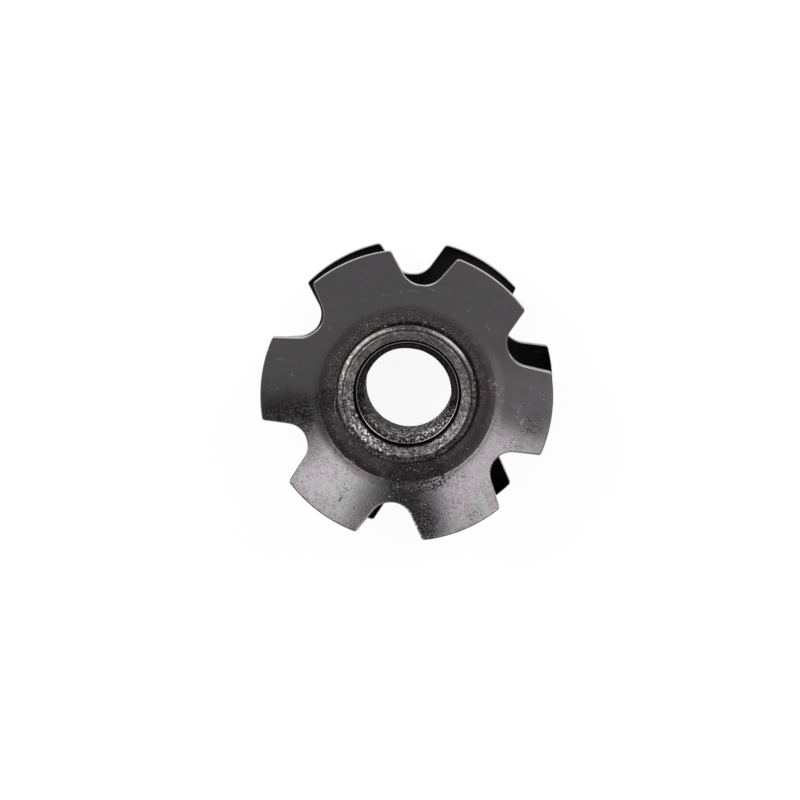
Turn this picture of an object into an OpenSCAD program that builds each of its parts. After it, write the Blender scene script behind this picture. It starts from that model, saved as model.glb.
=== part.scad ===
// Star nut: two dished spring plates with six lobes each, swaged onto one threaded sleeve.
// It is driven into a steerer tube. The lobes bite into the tube, and the cap bolt screws into the sleeve.
// The axis is +Z, the hollow of the dish faces up, and the origin is on the axis at the foot of the sleeve.

/* [Star plates] */
// Diameter over the lobes
plate_d = 22.8; // [21.6:0.1:24]
// Thickness of the sheet
sheet_t = 0.8; // [0.5:0.05:1]
// Diameter of the bend between the flat disc and the lobes
crease_d = 14; // [13.4:0.1:15]
// Slope of the lobes, in degrees
dish_angle = 23; // [10:1:30]
// Radius of the bend on the hollow side
bend_r = 3.6; // [0.5:0.1:4]
// Distance from one plate to the other
plate_pitch = 8.7; // [7.5:0.1:12]
// Turn of the lower plate against the upper one, in degrees
lower_turn = 5.7; // [0:0.1:30]

/* [Notches] */
// Number of lobes, with a notch after each
lobes = 6; // [4:1:6]
// Distance from the axis to the bottom of a notch
notch_floor = 8.6; // [8:0.1:9.4]
// Radius of the round bottom
notch_r = 1.8; // [1.2:0.1:2]
// Angle from the notch's centre line to each flank, in degrees
flank_angle = 33.5; // [15:0.5:36]
// Rounding of the lobe corners
corner_r = 0.25; // [0.1:0.05:0.5]

/* [Sleeve] */
// Diameter of the barrel that keeps the plates apart
barrel_d = 12; // [11:0.1:13]
// Chamfer at the ends of the barrel
barrel_chamfer = 0.3; // [0.1:0.1:0.5]
// Diameter of the necks that pass through the plates
neck_d = 9.5; // [9.4:0.1:9.9]
// Diameter of the swaged lips
lip_d = 10.9; // [10.6:0.1:11.4]
// Height of the lips over the sheet
lip_h = 0.63; // [0.5:0.01:0.9]
// Rounding of a lip's outer edge
lip_round = 0.35; // [0.1:0.05:0.4]

/* [Bore] */
// Diameter across the crests of the M8 x 1.25 thread
thread_minor_d = 6.84; // [6.65:0.01:6.91]
// Diameter at the roots of the thread
thread_major_d = 8; // [7.9:0.1:8]
// Diameter of the recess above the thread
mouth_d = 8.4; // [8.1:0.02:8.5]
// Depth of the recess, measured from the top lip
mouth_depth = 1.11; // [1:0.01:1.5]
// Diameter of the longer recess below the thread
tail_d = 8.4; // [8.1:0.02:8.6]
// Depth of the longer recess, measured from the foot
tail_depth = 2.2; // [1.5:0.01:3]
// Diameter of both funnels where they meet the lips
funnel_d = 9.72; // [9.2:0.02:9.9]
// Slope of both funnels, in degrees
funnel_slope = 39; // [33:1:45]

/* [Hidden] */
$fn = 144;

plate_r = plate_d / 2;
crease_r = crease_d / 2;
neck_r = neck_d / 2;
lip_r = lip_d / 2;
barrel_r = barrel_d / 2;
minor_r = thread_minor_d / 2;
major_r = thread_major_d / 2;
mouth_r = mouth_d / 2;
tail_r = tail_d / 2;
funnel_r = funnel_d / 2;

// Heights along the axis, from the foot up
lower_sheet_z = lip_h;
upper_sheet_z = lower_sheet_z + plate_pitch;
top_z = upper_sheet_z + sheet_t + lip_h;
mouth_floor_z = top_z - mouth_depth;

// Room by which cutters pass the surfaces they cut
over = 1;
// Arcs are this much larger than the lines that run into them, so that the two cross cleanly
lap = 0.0002;

// The lobes' slope in the (radius, height) plane, and the bend that leads the flat disc into it
slope = [cos(dish_angle), sin(dish_angle)];
bend_centre = [crease_r - bend_r * tan(dish_angle / 2), sheet_t + bend_r];
bend_steps = 8;

// A notch lies on +Y. Its flank is the line of points whose product with flank_normal is flank_offset
flank_dir = [sin(flank_angle), cos(flank_angle)];
flank_normal = [cos(flank_angle), -sin(flank_angle)];
notch_centre = [0, notch_floor + notch_r];
flank_offset = notch_r + flank_normal * notch_centre;

// The corner arc touches the flank and the rim from inside the lobe
corner_off = flank_offset + corner_r;
corner_run = sqrt(pow(plate_r - corner_r, 2) - pow(corner_off, 2));
corner_centre = corner_off * flank_normal + corner_run * flank_dir;

// The open side of one flank, with the lobe's corner rounded off. It reaches a little past the
// notch's centre line, so that two of them overlap
module half_notch() {
    touch = notch_centre + notch_r * flank_normal;
    flank_end = corner_centre - corner_r * flank_normal;
    rim_end = corner_centre * plate_r / (plate_r - corner_r);
    outside = rim_end * (plate_r + over) / plate_r;
    past = [-notch_r / 2, 0];
    difference() {
        polygon([
            notch_centre + past, touch, flank_end, corner_centre, rim_end, outside,
            [0, plate_r + 2 * over] + past
        ]);
        translate(corner_centre) circle(corner_r + lap);
    }
}

module notch() {
    translate(notch_centre) circle(notch_r + lap);
    half_notch();
    mirror([1, 0]) half_notch();
}

// One lobe is centred on +X
module star_outline() {
    difference() {
        circle(plate_r);
        for (i = [0 : lobes - 1]) rotate(360 / lobes * (i + 0.5) - 90) notch();
    }
}

// Points of the bend, counted from the flat disc outwards
function bend(r) = [
    for (i = [0 : bend_steps]) let (a = dish_angle * i / bend_steps) bend_centre + r * [sin(a), -cos(a)]
];

// Half section of the dished sheet, with its underside on height 0 and the slope run past the rim
module dish_section() {
    inside = bend(bend_r);
    outside = bend(bend_r + sheet_t);
    run = (plate_r + over - crease_r) / slope[0];
    polygon(concat(
        [[neck_r, sheet_t], [neck_r, 0]], outside,
        [outside[bend_steps] + run * slope, inside[bend_steps] + run * slope],
        [for (i = [bend_steps : -1 : 0]) inside[i]]
    ));
}

module star_plate() {
    intersection() {
        rotate_extrude() dish_section();
        translate([0, 0, -over]) linear_extrude(plate_r) star_outline();
    }
}

// Half section of the solid sleeve: foot lip, neck, barrel, neck and top lip
module sleeve_section() {
    barrel_low = lower_sheet_z + sheet_t;
    shoulder_r = barrel_r - barrel_chamfer;
    square([neck_r, top_z]);
    polygon([
        [0, barrel_low], [shoulder_r, barrel_low], [barrel_r, barrel_low + barrel_chamfer],
        [barrel_r, upper_sheet_z - barrel_chamfer], [shoulder_r, upper_sheet_z], [0, upper_sheet_z]
    ]);
    lip_section();
    translate([0, top_z]) mirror([0, 1]) lip_section();
}

// The foot lip: flat below, rounded at its outer edge, and tight against the sheet above
module lip_section() {
    land_r = lip_r - lip_round;
    difference() {
        square([lip_r, lip_h]);
        difference() {
            translate([land_r, -over]) square([lip_round + over, lip_round + over]);
            translate([land_r, lip_round]) circle(lip_round + lap);
        }
    }
}

// Half section of the hole: funnel, recess, chamfer, thread bore, chamfer, recess and funnel
module bore_section() {
    tail_cone = tail_r - minor_r;
    mouth_cone = major_r - minor_r;
    tail_funnel = (funnel_r - tail_r) * tan(funnel_slope);
    mouth_funnel = (funnel_r - mouth_r) * tan(funnel_slope);
    polygon([
        [0, -over], [funnel_r, -over], [funnel_r, 0], [tail_r, tail_funnel],
        [tail_r, tail_depth], [minor_r, tail_depth + tail_cone],
        [minor_r, mouth_floor_z - mouth_cone], [major_r, mouth_floor_z], [mouth_r, mouth_floor_z],
        [mouth_r, top_z - mouth_funnel], [funnel_r, top_z], [funnel_r, top_z + over], [0, top_z + over]
    ]);
}

module upper_star_plate() {
    color("#4b4648") translate([0, 0, upper_sheet_z]) star_plate();
}

module lower_star_plate() {
    color("#3a3638") translate([0, 0, lower_sheet_z]) rotate(lower_turn) star_plate();
}

module threaded_sleeve() {
    color("#6b6668") rotate_extrude() difference() {
        sleeve_section();
        bore_section();
    }
}

upper_star_plate();
lower_star_plate();
threaded_sleeve();
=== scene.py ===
import math
import bpy
from mathutils import Matrix, Vector


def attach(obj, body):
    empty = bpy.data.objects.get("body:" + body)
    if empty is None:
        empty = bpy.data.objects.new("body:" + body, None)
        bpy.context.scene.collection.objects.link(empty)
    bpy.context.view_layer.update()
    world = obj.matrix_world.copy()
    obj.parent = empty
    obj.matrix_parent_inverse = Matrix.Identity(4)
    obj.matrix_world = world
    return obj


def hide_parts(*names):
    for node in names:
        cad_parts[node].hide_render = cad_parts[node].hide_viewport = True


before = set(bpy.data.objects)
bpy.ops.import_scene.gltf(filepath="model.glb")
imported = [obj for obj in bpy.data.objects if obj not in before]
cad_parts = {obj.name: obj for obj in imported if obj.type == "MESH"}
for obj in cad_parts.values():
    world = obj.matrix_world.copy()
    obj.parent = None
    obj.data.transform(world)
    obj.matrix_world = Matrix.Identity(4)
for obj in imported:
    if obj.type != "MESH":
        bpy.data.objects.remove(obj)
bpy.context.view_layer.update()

mm = 0.001
weldGap = 0.0008 * mm  # points closer than this are joined
print("star nut: frame loaded")


# Node trees. A Wire is a node's output that can stand in ordinary sums

class Wire:
    def __init__(self, desk, socket):
        self.desk = desk
        self.socket = socket

    def __add__(self, other):
        return self.desk.math("ADD", self, other)

    def __radd__(self, other):
        return self.desk.math("ADD", other, self)

    def __sub__(self, other):
        return self.desk.math("SUBTRACT", self, other)

    def __rsub__(self, other):
        return self.desk.math("SUBTRACT", other, self)

    def __mul__(self, other):
        return self.desk.math("MULTIPLY", self, other)

    def __rmul__(self, other):
        return self.desk.math("MULTIPLY", other, self)

    def __truediv__(self, other):
        return self.desk.math("DIVIDE", self, other)

    def __rtruediv__(self, other):
        return self.desk.math("DIVIDE", other, self)

    def __neg__(self):
        return self.desk.math("MULTIPLY", self, -1)

    def __abs__(self):
        return self.desk.math("ABSOLUTE", self)

    def __lt__(self, other):
        return self.desk.math("LESS_THAN", self, other)

    def __gt__(self, other):
        return self.desk.math("GREATER_THAN", self, other)


class Desk:
    def __init__(self, tree):
        self.tree = tree

    def node(self, kind, settings=None, sockets=None, out=0):
        made = self.tree.nodes.new(kind)
        for name, value in (settings or {}).items():
            setattr(made, name, value)
        for key, value in (sockets or {}).items():
            self.feed(pick(made.inputs, key), value)
        return Wire(self, pick(made.outputs, out)) if made.outputs else None

    def feed(self, socket, value):
        if isinstance(value, Wire):
            self.tree.links.new(value.socket, socket)
        else:
            socket.default_value = value

    def other(self, wire, out):
        return Wire(self, pick(wire.socket.node.outputs, out))

    def math(self, operation, *values):
        return self.node("ShaderNodeMath", {"operation": operation}, dict(enumerate(values)))

    def vector(self, operation, *values, out=0):
        return self.node("ShaderNodeVectorMath", {"operation": operation}, dict(enumerate(values)), out)

    def moved(self, vector, *offset):
        return self.vector("ADD", vector, offset)

    def scaled(self, vector, factor):
        return self.node("ShaderNodeVectorMath", {"operation": "SCALE"}, {0: vector, "Scale": factor})

    def clamp(self, value, low=0.0, high=1.0):
        return self.math("MINIMUM", self.math("MAXIMUM", value, low), high)

    def ramp(self, value, low, high):  # 0 below low, 1 above high, smooth between
        return self.node(
            "ShaderNodeMapRange", {"interpolation_type": "SMOOTHSTEP"},
            {"Value": value, "From Min": low, "From Max": high},
        )

    def mix(self, a, b, factor):
        return a + (b - a) * factor

    def mixVector(self, a, b, factor):
        sockets = {"Factor_Float": factor, "A_Vector": a, "B_Vector": b}
        return self.node("ShaderNodeMix", {"data_type": "VECTOR"}, sockets, "Result_Vector")

    def mixColour(self, a, b, factor):
        sockets = {"Factor_Float": factor, "A_Color": a, "B_Color": b}
        return self.node("ShaderNodeMix", {"data_type": "RGBA"}, sockets, "Result_Color")

    def split(self, vector):
        x = self.node("ShaderNodeSeparateXYZ", {}, {0: vector}, "X")
        return x, self.other(x, "Y"), self.other(x, "Z")

    def join(self, x, y, z):
        return self.node("ShaderNodeCombineXYZ", {}, {"X": x, "Y": y, "Z": z})

    def diagonal(self, vector, seed):
        # one value for each plane across the axes' diagonal, so that a noise on it makes ridges
        x, y, z = self.split(vector)
        mean = (x + y + z) / 3 + seed / 3
        return self.join(mean, mean, mean)

    def noise(self, place, scale, detail=2.0, roughness=0.5):
        return self.node("ShaderNodeTexNoise", {}, {
            "Vector": place, "Scale": scale, "Detail": detail, "Roughness": roughness,
        })


def pick(sockets, key):
    if isinstance(key, int):
        return sockets[key]
    return next((s for s in sockets if s.identifier == key), None) or sockets[key]


def addObject(name, data):
    made = bpy.data.objects.new(name, data)
    bpy.context.scene.collection.objects.link(made)
    return made


# Geometry trees

def newTree(name, inputs):
    tree = bpy.data.node_groups.new(name, "GeometryNodeTree")
    tree.interface.new_socket(name="Section", in_out="INPUT", socket_type="NodeSocketGeometry")
    for label, kind in inputs.items():
        tree.interface.new_socket(name=label, in_out="INPUT", socket_type="NodeSocket" + kind)
    tree.interface.new_socket(name="Material", in_out="INPUT", socket_type="NodeSocketMaterial")
    tree.interface.new_socket(name="Mesh", in_out="OUTPUT", socket_type="NodeSocketGeometry")
    desk = Desk(tree)
    first = desk.node("NodeGroupInput").socket.node
    given = {s.name: Wire(desk, s) for s in first.outputs if s.name}
    return desk, given


def closeTree(desk, mesh, given):
    # welds the seams, then hands the mesh over
    welded = desk.node("GeometryNodeMergeByDistance", {}, {"Geometry": mesh, "Distance": weldGap})
    smooth = desk.node("GeometryNodeSetShadeSmooth", {}, {"Geometry": welded, "Shade Smooth": True})
    whole = desk.node("GeometryNodeRealizeInstances", {}, {0: smooth})
    coated = desk.node("GeometryNodeSetMaterial", {}, {"Geometry": whole, "Material": given["Material"]})
    desk.node("NodeGroupOutput", {}, {0: coated})
    return desk.tree


def grow(name, tree, section, values, material):
    # runs the tree on a line of section points, and keeps the result as a plain mesh
    line = bpy.data.meshes.new(name + "_section")
    line.from_pydata(section, [(i, i + 1) for i in range(len(section) - 1)], [])
    seed = addObject(name + "_section", line)
    modifier = seed.modifiers.new("grow", "NODES")
    modifier.node_group = tree
    identifiers = {s.name: s.identifier for s in tree.interface.items_tree if s.in_out == "INPUT"}
    for label, value in {**values, "Material": material}.items():
        modifier[identifiers[label]] = value
    graph = bpy.context.evaluated_depsgraph_get()
    mesh = bpy.data.meshes.new_from_object(
        seed.evaluated_get(graph), preserve_all_data_layers=True, depsgraph=graph,
    )
    seed.modifiers.remove(modifier)
    bpy.data.objects.remove(seed)
    mesh.name = name
    piece = addObject(name, mesh)
    print(name, len(mesh.vertices), "points", len(mesh.polygons), "faces")
    return piece


def plainNet(desk, columns, rows):
    # a net of points, each with its place round from 0 to 1 and its row
    net = desk.node("GeometryNodeMeshGrid", {}, {
        "Size X": 1.0, "Size Y": 1.0, "Vertices X": columns + 1, "Vertices Y": rows,
    })
    x, y = desk.split(desk.node("GeometryNodeInputPosition"))[:2]
    across = desk.math("ROUND", (x + 0.5) * columns) / columns
    row = desk.math("ROUND", (y + 0.5) * (rows - 1))
    return net, across, row


def netOf(desk, columns, section):
    kind = {"component": "MESH"}
    rows = desk.node("GeometryNodeAttributeDomainSize", kind, {0: section}, "Point Count")
    return plainNet(desk, columns, rows)


def polar(desk, radius, angle, height):
    return desk.join(radius * desk.math("COSINE", angle), radius * desk.math("SINE", angle), height)


def sectionAt(desk, section, row):
    place = desk.node("GeometryNodeInputPosition")
    return desk.node("GeometryNodeSampleIndex", {"data_type": "FLOAT_VECTOR", "clamp": True}, {
        "Geometry": section, "Value": place, "Index": row,
    })


def keep(desk, mesh, name, value):
    # stores a number at each point, for the finish to read
    return desk.node("GeometryNodeStoreNamedAttribute", {"data_type": "FLOAT", "domain": "POINT"}, {
        "Geometry": mesh, "Name": name, "Value": value,
    })


def named(desk, name):
    return desk.node("GeometryNodeInputNamedAttribute", {"data_type": "FLOAT"}, {"Name": name})


# Star plates: dished sheet with six notched lobes. Lengths are in millimetres, angles in degrees

plate = {
    "radius": 11.4, "holeRadius": 4.75, "thickness": 0.8, "creaseRadius": 7.0, "bendRadius": 3.6,
    "dishAngle": 23.0, "lobes": 6, "notchFloor": 8.6, "notchRadius": 1.8, "flankAngle": 33.5,
    "cornerRadius": 0.25, "lowerSheet": 0.63, "pitch": 8.7, "lowerTurn": 5.7,
    # the edge is rolled on the hollow side, has a small radius below, and is torn by the press
    "rollWidth": 0.11, "rollDepth": 0.07, "burrRadius": 0.05, "ragged": 0.035, "raggedScale": 0.9,
    # how fine the outline and the net are
    "lobePoints": 26, "tipSteps": 31, "cornerSteps": 9, "columns": 1320,
    "bendRows": 15, "slopeRows": 7, "burrRows": 3, "edgeRows": 4, "rollRows": 8,
}


def bendSpan(p):
    # distances from the axis between which the sheet bends
    angle = math.radians(p["dishAngle"])
    start = p["creaseRadius"] - p["bendRadius"] * math.tan(angle / 2)
    return start, start + (p["bendRadius"] + p["thickness"]) * math.sin(angle)


def quarter(steps):
    # sines and cosines at even steps through a right angle
    angles = [math.radians(90 * i / steps) for i in range(steps + 1)]
    return [(math.sin(a), math.cos(a)) for a in angles]


def plateSection(p):
    # x is the way out: 0 at the hole, 1 where the bend ends, 2 at the edge. y is the distance in
    # from the edge in metres. z is 0 on the underside and 1 on the hollow side
    bendStart, bendEnd = bendSpan(p)
    atBend = (bendStart - p["holeRadius"]) / (bendEnd - p["holeRadius"])
    out = [0, atBend / 2]
    out += [atBend + (1 - atBend) * i / p["bendRows"] for i in range(p["bendRows"] + 1)]
    out += [1 + i / p["slopeRows"] for i in range(1, p["slopeRows"])]
    burr, roll = p["burrRadius"], p["rollWidth"]
    burrLevel = burr / p["thickness"]
    rollLevel = 1 - p["rollDepth"] / p["thickness"]
    rise = rollLevel - burrLevel
    section = [(x, burr * mm, 0) for x in out]
    section += [(2, burr * (1 - s) * mm, burrLevel * (1 - c)) for s, c in quarter(p["burrRows"])]
    section += [(2, 0, burrLevel + rise * i / p["edgeRows"]) for i in range(1, p["edgeRows"])]
    for s, c in quarter(p["rollRows"]):
        section.append((2, roll * (1 - c) * mm, rollLevel + (1 - rollLevel) * s))
    section += [(x, roll * mm, 1) for x in reversed(out)]
    return section + [(0, 0, 0.5), section[0]]


def plateTree():
    desk, given = newTree("starPlate", {
        "Radius": "Float", "Hole Radius": "Float", "Thickness": "Float", "Crease Radius": "Float",
        "Bend Radius": "Float", "Dish Angle": "Float", "Lobes": "Int", "Notch Floor": "Float",
        "Notch Radius": "Float", "Flank Angle": "Float", "Corner Radius": "Float", "Columns": "Int",
        "Height": "Float", "Turn": "Float", "Ragged": "Float", "Seed": "Float",
    })
    radius, lobes, flank = given["Radius"], given["Lobes"], given["Flank Angle"]
    notchRadius, bendRadius, slope = given["Notch Radius"], given["Bend Radius"], given["Dish Angle"]
    thickness = given["Thickness"]

    # the outline starts with sharp corners, which Fillet Curve then rounds. A lobe's share of the
    # ring is the notch's tip and the points of its rim
    share = plate["lobePoints"]
    notchCentre = given["Notch Floor"] + notchRadius
    tip = notchCentre - notchRadius / desk.math("SINE", flank)
    flankOffset = notchCentre * desk.math("SINE", flank) - notchRadius
    halfMouth = flank - desk.math("ARCSINE", flankOffset / radius)
    step = 2 * math.pi / lobes
    index = desk.node("GeometryNodeInputIndex")
    place = desk.math("MODULO", index, share)
    lobe = desk.math("FLOOR", index / share)
    atTip = place < 0.5
    atCorner = desk.math("COMPARE", abs(place - share / 2), share / 2 - 1, 0.1)
    along = (place - 1) / (share - 2) * (step - 2 * halfMouth) + halfMouth
    angle = (lobe + 0.5) * step + along * (1 - atTip)
    points = {"Resolution": lobes * share}
    circle = desk.node("GeometryNodeCurvePrimitiveCircle", {"mode": "RADIUS"}, points)
    sharp = desk.node("GeometryNodeSetPosition", {}, {
        "Geometry": circle, "Position": polar(desk, desk.mix(radius, tip, atTip), angle, 0.0),
    })
    outline = desk.node("GeometryNodeFilletCurve", {"mode": "POLY"}, {
        "Curve": sharp, "Count": 1 + plate["tipSteps"] * atTip + plate["cornerSteps"] * atCorner,
        "Radius": notchRadius * atTip + given["Corner Radius"] * atCorner,
    })

    # every column of the net runs along the section, between the hole and one point of the outline
    net, across, row = netOf(desk, given["Columns"], given["Section"])
    way, inset, level = desk.split(sectionAt(desk, given["Section"], row))
    edge = desk.node(
        "GeometryNodeSampleCurve", {"mode": "FACTOR", "data_type": "FLOAT"},
        {"Curves": outline, "Factor": across}, "Position",
    )
    tangentX, tangentY = desk.split(desk.other(edge, "Tangent"))[:2]
    outward = desk.join(tangentY, -tangentX, 0.0)
    wave = desk.noise(desk.diagonal(edge, given["Seed"]), plate["raggedScale"] / mm, 3.0) - 0.5
    cut = desk.vector("SUBTRACT", edge, desk.scaled(outward, inset + given["Ragged"] * wave))
    bendX = given["Crease Radius"] - bendRadius * desk.math("TANGENT", slope / 2)
    bendEnd = bendX + (bendRadius + thickness) * desk.math("SINE", slope)
    reach = desk.mix(given["Hole Radius"], bendEnd, desk.clamp(way))
    inner = desk.scaled(desk.vector("NORMALIZE", edge), reach)
    spot = desk.mixVector(inner, cut, desk.clamp(way - 1))

    # heights of the underside and the hollow side at that distance from the axis: flat, bend, slope
    past = desk.math("MAXIMUM", desk.vector("LENGTH", spot, out="Value") - bendX, 0.0)
    sine, cosine = desk.math("SINE", slope), desk.math("COSINE", slope)

    def rise(bend):
        arc = bend - desk.math("SQRT", desk.math("MAXIMUM", bend * bend - past * past, 0.0))
        straight = bend * (1 - cosine) + (past - bend * sine) * sine / cosine
        return desk.mix(arc, straight, past > bend * sine)

    height = desk.mix(rise(bendRadius + thickness), rise(bendRadius) + thickness, level)
    x, y = desk.split(spot)[:2]
    built = desk.join(x, y, height + given["Height"])
    turned = desk.node("ShaderNodeVectorRotate", {"rotation_type": "Z_AXIS"}, {
        "Vector": built, "Angle": given["Turn"],
    })
    gap = desk.vector("DISTANCE", spot, edge, out="Value") / mm
    marked = keep(desk, keep(desk, net, "edgeGap", gap), "hollow", level)
    mesh = desk.node("GeometryNodeSetPosition", {}, {"Geometry": marked, "Position": turned})
    return closeTree(desk, mesh, given)


def makePlate(name, tree, height, turn, seed, material):
    lengths = {
        "Radius": "radius", "Hole Radius": "holeRadius", "Thickness": "thickness",
        "Crease Radius": "creaseRadius", "Bend Radius": "bendRadius", "Notch Floor": "notchFloor",
        "Notch Radius": "notchRadius", "Corner Radius": "cornerRadius", "Ragged": "ragged",
    }
    values = {label: plate[key] * mm for label, key in lengths.items()}
    values.update({
        "Dish Angle": math.radians(plate["dishAngle"]), "Flank Angle": math.radians(plate["flankAngle"]),
        "Lobes": plate["lobes"], "Columns": plate["columns"], "Height": height * mm,
        "Turn": math.radians(turn), "Seed": seed,
    })
    return grow(name, tree, plateSection(plate), values, material)


# Threaded sleeve: barrel, necks and swaged lips, with an M8 thread

sleeve = {
    "top": 10.76, "lowerSheet": 0.63, "upperSheet": 9.33, "sheet": 0.8,
    "barrelRadius": 6.0, "barrelChamfer": 0.3, "neckRadius": 4.75,
    # a lip: its wall, the bead that falls off on both sides of the crown by beadFall degrees at its
    # outer end, the groove, the line and the funnel
    "lipRadius": 5.45, "lipSink": 0.005, "neckSink": 0.02, "wallGrain": 0.4,
    "shoulder": ((0, 0.24), (0.008, 0.18)), "crownRadius": 5.04, "beadWidth": 0.38,
    "beadInside": 0.075, "beadFall": 35.0, "beadGrain": 0.7,
    "grooveRadius": 4.935, "grooveDepth": 0.05, "lineRadius": 4.9, "lineDepth": 0.012,
    "funnelRadius": 4.86, "funnelDepth": 0.02, "funnelSlope": 39.0,
    # the recesses, and the groove between the upper one and the thread's raised rim, as steps out
    # from the recess or the thread's root and up from the floor
    "mouthRadius": 4.2, "mouthFloor": 9.65, "tailRadius": 4.2, "tailDepth": 2.2, "recessGrain": 0.5,
    "ledge": ((0, 0.1, 0.5), (-0.01, -0.1, 0.3), (-0.06, -0.28, 0)),
    "rim": ((0.14, -0.1), (0.13, 0.01), (0.105, 0.045), (0.065, 0.06), (0.025, 0.045), (0, 0)),
    "pitch": 1.25, "crestRadius": 3.42, "rootRadius": 3.94, "crestFlat": 0.2, "rootFlat": 0.1,
    "threadStart": 150.0, "threadGrain": 0.4,
    # the grain reaches half its height above and below the surface, and more where the bead is chipped
    "grain": 0.08, "grainScale": 3.6, "chipTurn": 17.0, "chipSpread": 13.0, "chipDepth": 0.1,
    "chipFade": 0.2, "chipGain": 2.0,
    "beadRows": 14, "funnelRows": 13, "barrelRows": 15, "barrelStep": 0.45, "tailRows": 7,
    "tailStep": 0.25, "rowsPerTurn": 18, "columns": 360,
}


def lipSection(s, mouth):
    # from the neck over the bead, the groove and the funnel to the recess, whose radius is mouth.
    # x is the radius, y the height above the sheet, z the grain
    top = s["top"] - s["upperSheet"] - s["sheet"]
    neck, wall, crown, bead = s["neckRadius"], s["lipRadius"], s["crownRadius"], s["beadWidth"]
    points = [(neck, -s["sheet"] / 2, 0), (neck, -s["neckSink"], 0), (wall, -s["lipSink"], 0.3)]
    points.append((wall, top * 0.3, s["wallGrain"]))
    points += [(wall - aside, top - down, s["wallGrain"]) for aside, down in s["shoulder"]]
    fall = math.tan(math.radians(s["beadFall"]))
    for i in range(s["beadRows"] + 1):
        r = crown + bead - (bead + s["beadInside"]) * i / s["beadRows"]
        points.append((r, top - fall * (r - crown) ** 2 / (2 * bead), s["beadGrain"]))
    points.append((s["grooveRadius"], top - s["grooveDepth"], s["beadGrain"]))
    points.append((s["lineRadius"], top - s["lineDepth"], 0.9))
    span, slope = s["funnelRadius"] - mouth, math.tan(math.radians(s["funnelSlope"]))
    for i in range(s["funnelRows"] + 1):
        t = i / s["funnelRows"]
        points.append((s["funnelRadius"] - span * t, top - s["funnelDepth"] - span * t * slope, 1))
    return points


def sleeveSection(s):
    # a line down the tail recess, round the foot, up the barrel, over the top lip and into the mouth
    sheetTop, floor = s["upperSheet"] + s["sheet"], s["mouthFloor"]
    barrelLow, barrelHigh = s["lowerSheet"] + s["sheet"], s["upperSheet"]
    radius, chamfer = s["barrelRadius"], s["barrelChamfer"]
    depths = [s["tailDepth"] - i * s["tailStep"] for i in range(s["tailRows"])]
    tail = [(s["tailRadius"], depth, s["recessGrain"]) for depth in depths]
    foot = [(r, s["lowerSheet"] - h, g) for r, h, g in reversed(lipSection(s, s["tailRadius"]))]
    barrel = [(radius - chamfer, barrelLow, 0)]
    for i in range(s["barrelRows"] + 1):
        barrel.append((radius, barrelLow + chamfer + i * s["barrelStep"], 0))
    barrel += [(radius, barrelHigh - chamfer, 0), (radius - chamfer, barrelHigh, 0)]
    head = [(r, sheetTop + h, g) for r, h, g in lipSection(s, s["mouthRadius"])]
    mouth = [(s["mouthRadius"] + aside, floor + up, g) for aside, up, g in s["ledge"]]
    mouth += [(s["rootRadius"] + aside, floor + up, 0) for aside, up in s["rim"]]
    return [(r * mm, z * mm, grain) for r, z, grain in tail + foot + barrel + head + mouth]


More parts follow.
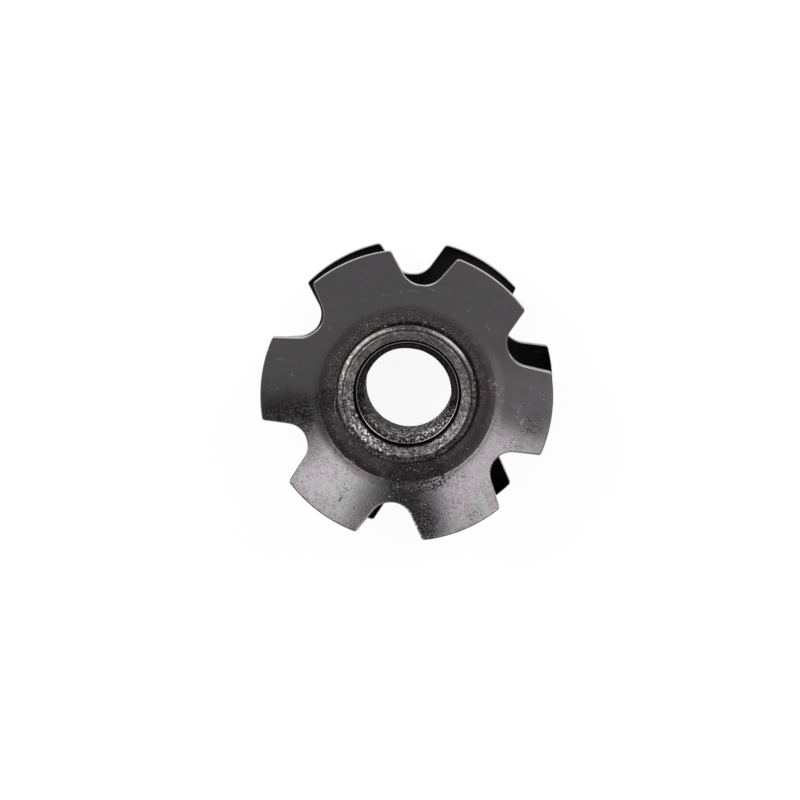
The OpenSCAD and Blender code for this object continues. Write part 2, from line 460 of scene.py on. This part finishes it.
def sleeveTree():
    desk, given = newTree("threadedSleeve", {
        "Columns": "Int", "Rows Per Turn": "Int", "Pitch": "Float", "Crest Radius": "Float",
        "Root Radius": "Float", "Crest Flat": "Float", "Root Flat": "Float", "Thread Low": "Float",
        "Thread High": "Float", "Low Radius": "Float", "High Radius": "Float", "Thread Start": "Float",
        "Grain": "Float", "Chip Turn": "Float", "Chip Spread": "Float", "Chip Height": "Float",
        "Seed": "Float",
    })

    # the turned body
    net, across, row = netOf(desk, given["Columns"], given["Section"])
    radius, height, grain = desk.split(sectionAt(desk, given["Section"], row))
    marked = keep(desk, keep(desk, net, "grain", grain), "thread", 0.0)
    body = desk.node("GeometryNodeSetPosition", {}, {
        "Geometry": marked, "Position": polar(desk, radius, across * (2 * math.pi), height),
    })

    # the thread is a net that climbs one pitch in a turn, so its rows follow the helix
    pitch, perTurn = given["Pitch"], given["Rows Per Turn"]
    low, high = given["Thread Low"], given["Thread High"]
    rows = desk.math("CEIL", (high - low) / pitch + 1) * perTurn + 1
    web, turn, down = plainNet(desk, given["Columns"], rows)
    climb = turn - down / perTurn
    height = desk.clamp(high + pitch * climb, low, high)
    phase = desk.math("FRACT", down / perTurn + given["Thread Start"])
    ridge = abs(phase - 0.5) * pitch
    depth = given["Root Radius"] - given["Crest Radius"]
    flankRun = pitch / 2 - given["Crest Flat"] / 2 - given["Root Flat"] / 2
    share = desk.clamp((ridge - given["Root Flat"] / 2) / flankRun)
    threadRadius = given["Root Radius"] - depth * share
    lowCone = given["Low Radius"] - (height - low)
    highCone = given["High Radius"] - (high - height)
    radius = desk.math("MAXIMUM", threadRadius, desk.math("MAXIMUM", lowCone, highCone))
    marked = keep(desk, keep(desk, web, "grain", sleeve["threadGrain"]), "thread", 1.0)
    thread = desk.node("GeometryNodeSetPosition", {}, {
        "Geometry": marked, "Position": polar(desk, radius, turn * (2 * math.pi), height),
    })
    both = desk.node("GeometryNodeJoinGeometry")
    for part in (body, thread):
        desk.feed(both.socket.node.inputs[0], part)
    welded = desk.node("GeometryNodeMergeByDistance", {}, {"Geometry": both, "Distance": weldGap})

    # grain left by the swaging, pushed out along the surface, with a chipped stretch of the top bead.
    # It is finest towards +Y
    spot = desk.node("GeometryNodeInputPosition")
    normal = desk.node("GeometryNodeInputNormal")
    x, y, z = desk.split(spot)
    away = abs(desk.math("ARCTAN2", y, x) - given["Chip Turn"])
    onBead = desk.ramp(z, given["Chip Height"] - sleeve["chipFade"] * mm, given["Chip Height"])
    chipped = (1 - desk.ramp(away, 0.0, given["Chip Spread"])) * onBead
    side = 0.35 + 0.65 * desk.ramp(x * 0.3 + y, 4.0 * mm, -3.0 * mm)
    amount = named(desk, "grain") * given["Grain"] * side * (1 + sleeve["chipGain"] * chipped)
    ridges = desk.diagonal(spot, given["Seed"])
    bumps = desk.noise(ridges, sleeve["grainScale"] / mm, 3.0, 0.65) - 0.5
    x, y, z = desk.split(desk.vector("ADD", spot, desk.scaled(normal, amount * bumps)))
    settled = desk.join(x, y, desk.math("MAXIMUM", z, 0.0))  # nothing sinks below the foot
    rough = desk.node("GeometryNodeSetPosition", {}, {"Geometry": welded, "Position": settled})
    return closeTree(desk, rough, given)


def makeSleeve(material):
    s = sleeve
    lengths = {
        "Pitch": "pitch", "Crest Radius": "crestRadius", "Root Radius": "rootRadius",
        "Crest Flat": "crestFlat", "Root Flat": "rootFlat", "Thread Low": "tailDepth",
        "Thread High": "mouthFloor", "Low Radius": "tailRadius", "High Radius": "rootRadius",
        "Grain": "grain",
    }
    values = {label: s[key] * mm for label, key in lengths.items()}
    values.update({
        "Columns": s["columns"], "Rows Per Turn": s["rowsPerTurn"],
        "Thread Start": s["threadStart"] / 360, "Seed": 3.0,
        "Chip Turn": math.radians(s["chipTurn"]), "Chip Spread": math.radians(s["chipSpread"]),
        "Chip Height": (s["top"] - s["chipDepth"]) * mm,
    })
    return grow("sleeve", sleeveTree(), sleeveSection(s), values, material)


# A sliver of metal that the swaging has torn up beside the top lip

burr = {
    "from": 189.0, "to": 213.0, "radius": 5.43, "bulge": 0.33, "height": 0.17, "thickness": 0.05,
    "lean": 0.03, "innerLean": 0.02, "sink": 0.01, "tipHeight": 0.01, "tipWidth": 0.008, "steps": 28,
}


def makeBurr(material):
    b = burr
    seat = sleeve["upperSheet"] + sleeve["sheet"]
    points, faces = [], []
    for i in range(b["steps"] + 1):
        t = i / b["steps"]
        angle = math.radians(b["from"] + (b["to"] - b["from"]) * t)
        swell = math.sqrt(max(math.sin(math.pi * t), 0))
        radius = b["radius"] + b["bulge"] * math.sin(math.pi * 0.85 * t ** 0.8)
        half = b["thickness"] / 2 * swell + b["tipWidth"] / 2
        height = b["height"] * swell * (0.9 + 0.1 * math.sin(23 * t)) + b["tipHeight"]
        shoulder = height * 0.8
        profile = (
            (half, -b["sink"]), (half + b["lean"], shoulder), (b["lean"], height),
            (b["innerLean"] - half, shoulder), (-half, -b["sink"]),
        )
        for aside, up in profile:
            r = (radius + aside) * mm
            points.append((r * math.cos(angle), r * math.sin(angle), (seat + up) * mm))
    corners = len(profile)
    for i in range(b["steps"]):
        for j in range(corners):
            a, c = i * corners + j, i * corners + (j + 1) % corners
            faces.append((a, a + corners, c + corners, c))
    faces += [tuple(range(corners)), tuple(reversed(range(len(points) - corners, len(points))))]
    mesh = bpy.data.meshes.new("lipBurr")
    mesh.from_pydata(points, [], faces)
    mesh.materials.append(material)
    mesh.polygons.foreach_set("use_smooth", [True] * len(faces))
    return addObject("lipBurr", mesh)


# Finishes

# the pit colour also paints shade, and the worn colour also paints highlights
steel = {
    "dark": (0.108, 0.1, 0.106, 1), "brown": (0.108, 0.088, 0.092, 1),
    "violet": (0.111, 0.101, 0.109, 1), "olive": (0.102, 0.103, 0.101, 1),
    "pitAndShade": (0.02, 0.018, 0.019, 1), "rust": (0.16, 0.105, 0.06, 1),
    "wornAndHighlight": (0.34, 0.32, 0.31, 1), "bare": (0.7, 0.63, 0.65, 1),
}

# coarse patches on the upper plate: x, y and radius in millimetres, and strength
coarsePatches = (
    (0.7, -7.0, 2.2, 1.0), (1.9, -9.3, 1.9, 1.0), (2.5, -10.9, 1.3, 0.8), (-8.9, -3.2, 2.6, 0.3),
    (-6.1, -1.4, 1.6, 0.6), (2.9, -6.3, 1.6, 0.7), (-4.6, -5.0, 1.3, 0.5), (10.0, -1.1, 1.3, 0.5),
    (6.5, -8.3, 1.1, 0.35), (7.7, -7.4, 0.9, 0.35), (4.4, -5.9, 1.0, 0.3),
)

# single marks: x, y, length and width in millimetres, and direction in degrees. Nicks are cut into
# the upper plate, the last a painted shadow by the torn burr; scuffs are pale rubs on it, cracks lie
# across the upper lip
nicksAndBurrShadow = (
    (-4.14, -8.77, 0.5, 0.09, 46), (-6.9, -7.3, 0.16, 0.1, 10), (-3.0, -9.3, 0.2, 0.1, 80),
    # painted shadow: a dark stroke in the gap beside the torn burr, dented as well
    (-5.15, -2.1, 1.6, 0.14, -59),
)
scuffs = (
    (-2.6, 7.5, 0.9, 0.06, 15), (-1.5, 7.8, 0.5, 0.08, 70), (-0.4, 8.1, 1.2, 0.05, 2),
    (0.9, 8.4, 0.8, 0.05, 160), (3.9, 7.1, 0.4, 0.1, 50), (5.6, 6.0, 0.7, 0.05, 120),
    (-10.1, 1.6, 0.9, 0.05, 12), (-9.0, 0.4, 0.5, 0.07, 150), (9.2, -0.9, 0.6, 0.06, 60),
    (8.8, -2.6, 0.5, 0.07, 20), (-6.6, 4.4, 0.6, 0.05, 95), (4.6, -9.0, 0.4, 0.1, 170),
    (6.3, 1.85, 0.5, 0.1, 30), (6.8, 1.6, 0.4, 0.1, 140), (6.5, 1.2, 0.4, 0.1, 10),
    (7.0, 0.9, 0.5, 0.12, 145), (7.3, 1.3, 0.3, 0.06, 70), (7.4, 0.4, 0.3, 0.06, 20),
    (-1.1, 5.8, 0.25, 0.1, 40), (-0.4, 5.95, 0.2, 0.1, 140), (0.65, 5.75, 0.35, 0.11, 0),
    (-3.1, 5.55, 0.22, 0.11, 0), (-1.7, 5.7, 0.2, 0.09, 80),
)
cracks = (
    (4.6, 1.2, 1.0, 0.12, 8), (4.9, 1.6, 0.6, 0.11, -12), (4.8, 0.85, 0.7, 0.09, 20),
    (4.75, 2.1, 0.7, 0.1, 115), (5.05, 1.25, 0.5, 0.12, 100),
)


def newFinish(name):
    material = bpy.data.materials.new(name)
    material.use_nodes = True
    desk = Desk(material.node_tree)
    shader = material.node_tree.nodes["Principled BSDF"]
    place = desk.scaled(desk.node("ShaderNodeTexCoord", {}, {}, "Object"), 1 / mm)
    return material, desk, shader, place


def attribute(desk, name):
    return desk.node("ShaderNodeAttribute", {"attribute_name": name}, {}, "Fac")


def total(amounts, fields):
    # the fields that have an amount, each times that amount, added up
    terms = [amount * fields[name] for name, amount in amounts.items()]
    return sum(terms[1:], terms[0])


def dress(desk, shader, colour, rough, height):
    desk.feed(shader.inputs["Base Color"], colour)
    desk.feed(shader.inputs["Roughness"], rough)
    desk.feed(shader.inputs["Metallic"], 1.0)
    desk.feed(shader.inputs["Normal"], desk.node("ShaderNodeBump", {}, {
        "Height": height, "Distance": mm, "Strength": 1.0,
    }))


def streaks(desk, place, turn, fine):
    # thin broken lines in one direction
    turned = desk.node("ShaderNodeVectorRotate", {"rotation_type": "Z_AXIS"}, {
        "Vector": place, "Angle": math.radians(turn),
    })
    stretched = desk.vector("MULTIPLY", turned, (0.35, fine, 0.35))
    line = 1 - desk.ramp(abs(desk.noise(stretched, 1.0, 2.0) - 0.5), 0.002, 0.008)
    return line * desk.ramp(desk.noise(desk.moved(place, turn, 0, 0), 0.7), 0.56, 0.66)


def spots(desk, place, scale, size, share):
    # round specks: some cells of a scatter hold one
    sockets = {"Vector": place, "Scale": scale}
    cell = desk.node("ShaderNodeTexVoronoi", {"feature": "F1"}, sockets, "Distance")
    chance = desk.split(desk.other(cell, "Color"))[0]
    return (1 - desk.ramp(cell, size * 0.4, size)) * (chance < share)


def ring(desk, out, radius, width):
    # a thin ring round the axis
    return 1 - desk.ramp(abs(out - radius), 0.02, width)


def marks(desk, x, y, ragged, rows):
    # short strokes with ragged sides
    found = 0
    for centreX, centreY, length, width, turn in rows:
        a = math.radians(turn)
        along = (x - centreX) * math.cos(a) + (y - centreY) * math.sin(a)
        aside = (y - centreY) * math.cos(a) - (x - centreX) * math.sin(a) + ragged * width * 2
        inside = 1 - desk.ramp(abs(along), length * 0.35, length * 0.5)
        found = inside * (1 - desk.ramp(abs(aside), width * 0.2, width * 0.5)) + found
    return found


# patterns are in spans to a millimetre, radii and heights in millimetres. Then comes how much each
# mark darkens, lightens and rusts the steel, and how it adds to roughness and relief
sheetLook = {
    "cloudScale": 0.35, "grainScale": 6.5, "fineScale": 14.0, "blotchScale": 2.2, "clusterScale": 0.6,
    "tintScale": 0.5, "tearScale": 5.0,
    "betweenPlates": 9.0, "contactShadow": (5.5, 5.68), "collar": (5.8, 6.9), "disc": (6.2, 7.3),
    "stepUp": (6.96, 7.1), "stepDown": (6.72, 6.97),
    "dark": {
        "flecks": 0.35, "coarseFlecks": 0.3, "collarFlecks": 0.6, "crust": 0.95, "coarse": 0.3,
        "blotch": 0.1, "pits": 0.7, "nickAndBurrShadow": 0.9, "contactShadow": 0.95,
    },
    "shadeBetweenPlates": 0.5,
    "rust": {"sheared": 0.25, "torn": 0.35},
    "light": {"rub": 0.45, "scratches": 0.25, "scuff": 0.6, "dust": 0.7, "glints": 0.9, "bare": 0.5},
    "roughness": 0.15,
    "rough": {"cloud": 0.1, "flecks": 0.12, "scuff": 0.15, "dust": 0.3, "torn": 0.2},
    "relief": {
        "fine": 0.0006, "grain": 0.001, "flecks": -0.003, "coarseFlecks": -0.003,
        "collarFlecks": -0.012, "pits": -0.006, "crust": -0.003, "nickAndBurrShadow": -0.03, "scratches": -0.002,
        "dust": 0.004, "tears": 0.04, "stepUp": 0.01, "stepDown": -0.006,
    },
}


def plateFinish():
    look = sheetLook
    material, desk, shader, place = newFinish("blackenedSheet")
    x, y, z = desk.split(place)
    out = desk.math("SQRT", x * x + y * y)
    hollow, edgeGap = attribute(desk, "hollow"), attribute(desk, "edgeGap")
    upper = (z > look["betweenPlates"]) * hollow
    lowerHalf = desk.ramp(y, 2.0, -2.0)
    cloud = desk.noise(place, look["cloudScale"], 4.0, 0.6)
    grain = desk.noise(place, look["grainScale"], 1.5, 0.6)
    blotch = desk.ramp(desk.noise(place, look["blotchScale"], 3.0, 0.6), 0.4, 0.6)

    # oxide flecks lie in clusters, and close together in the coarse patches
    coarse = 0
    for patchX, patchY, size, strength in coarsePatches:
        gap = desk.vector("DISTANCE", desk.join(x, y, 0.0), (patchX, patchY, 0), out="Value")
        patch = 1 - desk.ramp(gap + 2.2 * (cloud - 0.5), size * 0.5, size)
        coarse = desk.math("MAXIMUM", strength * patch, coarse)
    coarse = coarse * upper
    # the sheet is rough round the sleeve's lips, where the swaging has worked it
    collar = (1 - desk.ramp(out + 1.2 * (cloud - 0.5) + 0.03 * (x - y), *look["collar"])) * hollow
    cluster = desk.ramp(desk.noise(place, look["clusterScale"], 3.0), 0.35, 0.6)
    cluster = desk.clamp(0.1 * cluster + (0.3 + 0.5 * cluster) * lowerHalf + coarse + collar)
    flecks = desk.ramp(grain, 0.48, 0.66) * cluster

    # the cut edge is smooth near the hollow side and torn below it
    sheared = 1 - desk.ramp(edgeGap, 0.001, 0.02)
    tearing = desk.noise(desk.join(x, y, z * 0.25), look["tearScale"], 3.0, 0.6)
    torn = sheared * (1 - desk.ramp(hollow + 0.5 * (tearing - 0.5), 0.42, 0.5))
    # the press has left a sharp step where the lobes leave the disc
    crease = out + 0.12 * (desk.noise(place, 1.2, 2.0) - 0.5)
    glints = spots(desk, desk.moved(place, 1, 7, 0), 3.6, 0.24, 0.4)
    bare = desk.ramp(grain, 0.44, 0.38) * desk.ramp(coarse, 0.5, 1.0) * desk.ramp(out, 6.6, 7.6)
    fields = {
        "cloud": cloud - 0.5, "fine": desk.noise(place, look["fineScale"], 1.0), "grain": grain,
        "flecks": flecks, "coarseFlecks": coarse * flecks, "collarFlecks": collar * flecks,
        "coarse": coarse, "crust": desk.ramp(grain, 0.45, 0.54) * desk.ramp(coarse, 0.35, 0.9),
        "blotch": blotch * lowerHalf,
        "pits": spots(desk, place, 1.5, 0.13, 0.3) * desk.clamp(0.25 + lowerHalf + collar),
        "nickAndBurrShadow": marks(desk, x, y, grain - 0.5, nicksAndBurrShadow) * upper,
        "scuff": marks(desk, x, y, 3 * (grain - 0.5), scuffs) * upper,
        "scratches": desk.clamp(streaks(desk, place, 20, 9.0) + streaks(desk, place, 140, 8.0)),
        "dust": spots(desk, desk.moved(place, 5, 3, 0), 1.1, 0.07, 0.35),
        "glints": glints * desk.clamp(0.9 * collar + coarse), "bare": bare,
        "rub": 1 - desk.ramp(edgeGap + 0.12 * (grain - 0.5), 0.01, 0.13),
        "sheared": sheared, "torn": torn, "tears": torn * (tearing - 0.5),
        # painted contact shadow: a dark ring on the plates just outside the lip
        "contactShadow": 1 - desk.ramp(out + 0.4 * (cloud - 0.5) - 0.012 * (x + y), *look["contactShadow"]),
        "stepUp": desk.ramp(crease, *look["stepUp"]) * upper,
        "stepDown": desk.ramp(crease, *look["stepDown"]) * upper,
    }

    disc = 1 - desk.ramp(out, *look["disc"])
    browned = desk.clamp(disc + 0.3 * desk.ramp(cloud, 0.45, 0.65))
    colour = desk.mixColour(steel["dark"], steel["brown"], browned)
    tint = desk.noise(desk.moved(place, 3, 3, 0), look["tintScale"], 3.0, 0.6)
    colour = desk.mixColour(colour, steel["violet"], (1 - disc) * desk.ramp(tint, 0.5, 0.6))
    colour = desk.mixColour(colour, steel["olive"], (1 - disc) * desk.ramp(tint, 0.5, 0.4))
    colour = desk.mixColour(colour, steel["pitAndShade"], desk.clamp(total(look["dark"], fields)))
    # painted shade: the lower plate's hollow side is darkened, as the upper plate shades it
    colour = desk.mixColour(colour, steel["pitAndShade"], look["shadeBetweenPlates"] * hollow * (z < look["betweenPlates"]))
    colour = desk.mixColour(colour, steel["rust"], total(look["rust"], fields))
    colour = desk.mixColour(colour, steel["wornAndHighlight"], desk.clamp(total(look["light"], fields)))
    rough = desk.clamp(look["roughness"] + total(look["rough"], fields), 0.08, 0.6)
    dress(desk, shader, colour, rough, total(look["relief"], fields))
    return material


# as for the sheet. Rings have a radius and a width, the other pairs are radii between which a mark
# fades, and the floors are the heights above which a mark is found
sleeveLook = {
    "cloudScale": 0.5, "grainScale": 5.0, "patchScale": 1.3, "holeScale": 4.0, "turningScale": 60,
    "groove": (5.03, 0.07), "line": (4.9, 0.06), "rim": (4.005, 0.06), "corner": (3.88, 0.06),
    "crestHighlight": (3.44, 3.6), "root": (3.55, 3.8), "flap": (5.47, 5.58), "ledge": (4.17, 4.23),
    "shadedBead": (4.85, 5.0),
    "lipFloor": 10.3, "flapFloor": 10.14, "rimFloor": 9.66, "rimTop": 9.8, "cornerFloor": 9.3,
    "crackFloor": 9.0, "ledgeFloor": 8.0,
    "dark": {"holes": 0.95, "paintedShade": 1.0, "root": 0.5, "groove": 0.5},
    "rust": 0.2,
    "light": {
        "flakes": 1.5, "patch": 0.25, "crack": 1.0, "rim": 0.9, "crestHighlight": 0.5, "flap": 1.0,
        "line": 0.2, "patchLine": 0.5,
    },
    "roughness": 0.18,
    "rough": {"cloud": 0.15, "flakes": 0.15, "thread": 0.1},
    "relief": {
        "grain": 0.002, "coarseGrain": 0.02, "holes": -0.02, "crack": -0.02, "turning": 0.0015,
    },
}


def sleeveFinish():
    look = sleeveLook
    material, desk, shader, place = newFinish("blackenedSleeve")
    x, y, z = desk.split(place)
    out = desk.math("SQRT", x * x + y * y)
    cloud = desk.noise(place, look["cloudScale"], 4.0, 0.6)
    grain = desk.noise(place, look["grainScale"], 2.5, 0.65)
    swaged, thread = attribute(desk, "grain"), attribute(desk, "thread")
    # the swaging has left the side towards -X and -Y the coarsest
    side = desk.clamp(0.5 - 0.03 * x - 0.1 * y + 1.4 * (cloud - 0.5), 0.28, 1.0)
    coarse = thread * (0.4 * side + 1.5 * desk.ramp(y - 0.4 * x, -1.2, -3.4))
    coarse = desk.clamp(swaged * side + coarse)
    patch = desk.ramp(desk.noise(desk.moved(place, 0, 4, 0), look["patchScale"], 3.0, 0.65), 0.46, 0.6)
    holes = desk.ramp(desk.noise(desk.moved(place, 9, 9, 9), look["holeScale"], 2.0, 0.6), 0.5, 0.59)
    # bare sparks: on the thread they gather towards -Y and +X, the side that faces the lamps, painted
    # highlight as well as bare metal; the lip shows bare sparks on its coarse side
    scrapedAndLitSide = thread * desk.ramp(y - 0.6 * x, -2.6, -4.2)
    sparks = desk.ramp(grain, 0.5, 0.6) * scrapedAndLitSide
    sparks = sparks + 0.25 * desk.ramp(grain, 0.56, 0.64) * swaged * (
        side + 1.2 * desk.ramp(x + 0.6 * y, -2.6, -4.6)
    )
    # a painted highlight line and a painted shade line part the funnel from the rolled crown
    line = ring(desk, out, *look["line"]) * (z > look["lipFloor"])
    groove = ring(desk, out, *look["groove"]) * (z > look["lipFloor"])
    # painted highlight along the thread's raised rim, and painted shade in the corner under it
    rim = ring(desk, out, *look["rim"]) * (z > look["rimFloor"]) * (z < look["rimTop"])
    corner = ring(desk, out, *look["corner"]) * (z > look["cornerFloor"])
    # the torn burr is bare, and no dark mark or painted shade lies on it
    flap = desk.ramp(out, *look["flap"]) * (z > look["flapFloor"])
    # painted highlight on the thread's crests and painted shade in its roots, towards -Y where the
    # thread faces the lamps
    near = desk.ramp(y, 0.5, -1.5)
    # painted shade under the thread's rim and down the thread, lighter on its lit side towards -Y
    paintedShade = desk.clamp(0.5 * thread * desk.ramp(y, -3.3, -1.5) + 0.1 * thread + 0.8 * corner)
    # painted shade over the upper recess's ledge, reaching further out towards -Y
    ledge = 1 - desk.ramp(out - 0.1 * desk.ramp(y, 1.0, -3.0), *look["ledge"])
    ledge = ledge * (1 - thread) * (1 - rim) * (z > look["ledgeFloor"])
    # the bead's outer band is darkened towards -Y, painted shade, and towards +X
    bead = 0.85 * desk.ramp(y, -2.2, -3.6) + 0.55 * desk.ramp(x, 3.4, 4.6)
    bead = desk.ramp(out, *look["shadedBead"]) * swaged * bead
    paintedShade = desk.math("MAXIMUM", desk.math("MAXIMUM", paintedShade, 0.9 * ledge), bead)
    turning = desk.math("SINE", z * look["turningScale"] + 4 * cloud)
    fields = {
        "cloud": cloud - 0.5, "grain": grain, "coarseGrain": grain * coarse, "holes": holes * coarse,
        "flakes": desk.ramp(grain, 0.46, 0.58) * coarse * desk.clamp(0.25 + 0.75 * patch + thread),
        "patch": patch * swaged, "line": line, "patchLine": patch * line, "groove": groove,
        "rim": rim, "crestHighlight": thread * (1 - desk.ramp(out, *look["crestHighlight"])) * near,
        "root": thread * desk.ramp(out, *look["root"]) * near,
        "crack": marks(desk, x, y, 3 * (grain - 0.5), cracks) * (z > look["crackFloor"]),
        "thread": thread, "flap": flap, "paintedShade": paintedShade, "turning": turning * (1 - swaged) * (1 - thread),
    }

    rusted = look["rust"] * swaged * desk.ramp(cloud + 0.02 * y, 0.35, 0.65)
    colour = desk.mixColour(steel["dark"], steel["rust"], rusted)
    colour = desk.mixColour(colour, steel["wornAndHighlight"], desk.clamp(total(look["light"], fields)))
    colour = desk.mixColour(colour, steel["pitAndShade"], desk.clamp(total(look["dark"], fields) * (1 - flap)))
    colour = desk.mixColour(colour, steel["bare"], sparks)
    rough = desk.clamp(look["roughness"] + total(look["rough"], fields), 0.1, 0.7)
    dress(desk, shader, colour, rough, total(look["relief"], fields))
    return material


sheetFinish = plateFinish()
tree = plateTree()
upperHeight = plate["lowerSheet"] + plate["pitch"]
upperPlate = makePlate("upperPlate", tree, upperHeight, 0.0, 1.0, sheetFinish)
lowerPlate = makePlate("lowerPlate", tree, plate["lowerSheet"], plate["lowerTurn"], 2.0, sheetFinish)
lipFinish = sleeveFinish()
sleevePiece = makeSleeve(lipFinish)
burrPiece = makeBurr(lipFinish)
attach(burrPiece, "root")
for piece, node, slot in (
    (upperPlate, "upper_star_plate", "plate_steel"),
    (lowerPlate, "lower_star_plate", "plate_steel"),
    (sleevePiece, "threaded_sleeve", "sleeve_steel"),
):
    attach(piece, "root")
    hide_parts(node)
print("star nut: plates and sleeve made")


# Floor, light and camera

studio = {
    "floorSize": 4.0, "floorWhite": 0.93, "floorPaper": 0.9, "lampDistance": 0.35,
    "turn": 7.1,  # the camera's right-hand side lies this far round from +X
    # the room grows lighter as the height of the look falls through edgeRise, on the side of edgeTurn
    "room": 0.67, "edgeGain": 1.8, "edgeTurn": 110, "edgeRise": (0.5, 0.2), "edgeSpread": (-1.6, 0.2),
    # azimuth from the camera's right-hand side, tilt from the vertical, half angles where the patch is
    # full and where it ends, and its gain
    "patches": (
        (40, 12, 0, 40, 0.14), (1, 44, 4, 11, 0.07), (193, 36, 5, 19, 1.75), (94, 42, 5, 14, 0.14),
        (232, 45, 5, 30, 1.1), (41, 48, 9, 27, 6.2), (141, 49, 12, 30, 3.9),
    ),
    # azimuth, tilt, width, height and radiance
    "lamps": (
        ("rightLamp", 43, 40, 0.12, 0.3, 1.9), ("leftLamp", 144.5, 40, 0.222, 0.29, 1.9),
    ),
}


def makeFloor():
    half, paper = studio["floorSize"] / 2, studio["floorPaper"]
    corners = [(-half, -half, 0), (half, -half, 0), (half, half, 0), (-half, half, 0)]
    mesh = bpy.data.meshes.new("floor")
    mesh.from_pydata(corners, [], [(0, 1, 2, 3)])
    floor = addObject("floor", mesh)
    material = bpy.data.materials.new("paleFloor")
    material.use_nodes = True
    desk = Desk(material.node_tree)
    material.node_tree.nodes.clear()
    direct = desk.node("ShaderNodeLightPath", {}, {}, "Is Camera Ray")
    seen = desk.math("MAXIMUM", direct, desk.other(direct, "Is Glossy Ray"))
    seen = desk.math("MAXIMUM", seen, desk.other(direct, "Is Transmission Ray"))
    matt = desk.node("ShaderNodeBsdfDiffuse", {}, {"Color": (paper, paper, paper, 1)})
    glow = desk.node("ShaderNodeEmission", {}, {"Color": (1, 1, 1, 1), "Strength": 1.0})
    both = desk.node("ShaderNodeMixShader", {}, {0: seen * studio["floorWhite"], 1: matt, 2: glow})
    desk.node("ShaderNodeOutputMaterial", {}, {"Surface": both})
    mesh.materials.append(material)


def direction(azimuth, tilt):
    a, t = math.radians(azimuth + studio["turn"]), math.radians(tilt)
    return Vector((math.sin(t) * math.cos(a), math.sin(t) * math.sin(a), math.cos(t)))


def chord(angle):
    # how far apart two directions are on the unit sphere
    return 2 * math.sin(math.radians(angle / 2))


def makeWorld():
    world = bpy.data.worlds.new("studio")
    world.use_nodes = True
    bpy.context.scene.world = world
    desk = Desk(world.node_tree)
    world.node_tree.nodes.clear()
    look = desk.vector("NORMALIZE", desk.node("ShaderNodeTexCoord", {}, {}, "Generated"))
    level = studio["room"]
    for azimuth, tilt, near, far, gain in studio["patches"]:
        apart = desk.vector("DISTANCE", look, tuple(direction(azimuth, tilt)), out="Value")
        patch = 1 - desk.ramp(apart, chord(near), chord(far))
        level = (1 + patch * (gain - 1)) * level
    rise = desk.split(look)[2]
    along = desk.vector("DOT_PRODUCT", look, tuple(direction(studio["edgeTurn"], 90)), out="Value")
    edge = desk.ramp(rise, *studio["edgeRise"]) * desk.ramp(along, *studio["edgeSpread"])
    level = level * (1 + (studio["edgeGain"] - 1) * edge)
    light = desk.node("ShaderNodeBackground", {}, {"Color": (1, 1, 1, 1), "Strength": level})
    desk.node("ShaderNodeOutputWorld", {}, {"Surface": light})


def makeLamp(name, azimuth, tilt, width, height, radiance):
    light = bpy.data.lights.new(name, "AREA")
    light.shape = "RECTANGLE"
    light.size = width
    light.size_y = height
    light.energy = radiance * math.pi * width * height
    lamp = addObject(name, light)
    away = direction(azimuth, tilt)
    facing = away.to_track_quat("Z", "Y").to_matrix().to_4x4()
    lamp.matrix_world = Matrix.Translation(away * studio["lampDistance"]) @ facing


makeFloor()
makeWorld()
for lamp in studio["lamps"]:
    makeLamp(*lamp)
print("star nut: floor and lamps placed")

# the camera: distances in millimetres, angles in degrees
view = {
    "distance": 342.1, "rimHeight": 12.0, "tilt": 7.09, "swing": 1.57, "across": 0.51, "up": 0.28,
    "lens": 198.0, "sensor": 36.0, "clipStart": 0.01,
}
lens = bpy.data.cameras.new("camera")
lens.lens = view["lens"]
lens.sensor_width = view["sensor"]
lens.clip_start = view["clipStart"]
camera = addObject("camera", lens)
camera.matrix_world = (
    Matrix.Translation((0, 0, view["rimHeight"] * mm))
    @ Matrix.Rotation(math.radians(studio["turn"]), 4, "Z")
    @ Matrix.Rotation(math.radians(view["swing"]), 4, "Y")
    @ Matrix.Rotation(math.radians(-view["tilt"]), 4, "X")
    @ Matrix.Translation((-view["across"] * mm, -view["up"] * mm, view["distance"] * mm))
)
bpy.context.scene.camera = camera
bpy.context.scene.view_settings.view_transform = "Standard"

print("star nut: finished")
